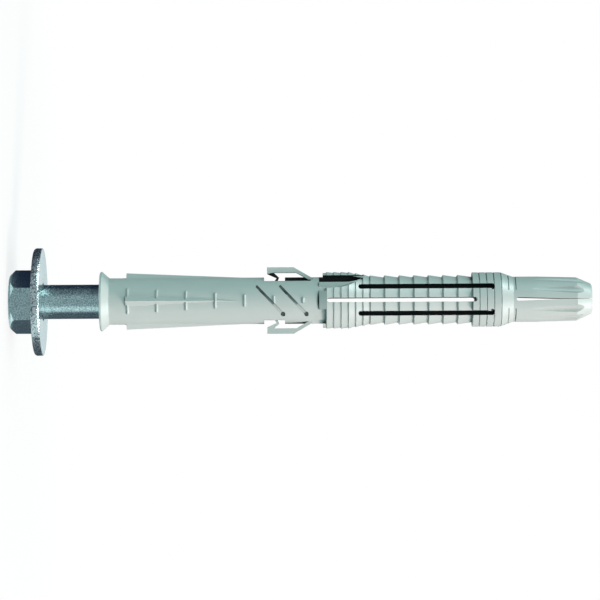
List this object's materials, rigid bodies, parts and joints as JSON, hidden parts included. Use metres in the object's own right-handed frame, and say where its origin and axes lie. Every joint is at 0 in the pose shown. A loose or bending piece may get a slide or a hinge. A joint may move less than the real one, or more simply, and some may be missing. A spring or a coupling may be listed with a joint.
{
  "type": "wall plug with lag screw",
  "caption": "Long nylon wall plug for fixing a frame through its hole, with side barbs and a toothed, slotted expansion end, on a zinc-plated hexagon lag screw with a large flat washer.",
  "frame": {"origin": "middle of the screw head's outer face, on which the object stands", "axes": "+Z along the screw's axis towards the plug's nose, -Y towards the face that the picture shows, barbs along -X and +X"},
  "size_m": [0.037, 0.037, 0.1998],
  "materials": {
    "zinc_plated_screw": "bright zinc plating on forged steel, blue-grey, satin",
    "zinc_plated_washer": "bright zinc plating on punched steel, satin, grained on its rim",
    "grey_nylon": "moulded nylon, light grey, satin"
  },
  "bodies": {
    "root": {"lag_screw": "zinc_plated_screw", "washer": "zinc_plated_washer", "sleeve": "grey_nylon"}
  },
  "joints": []
}
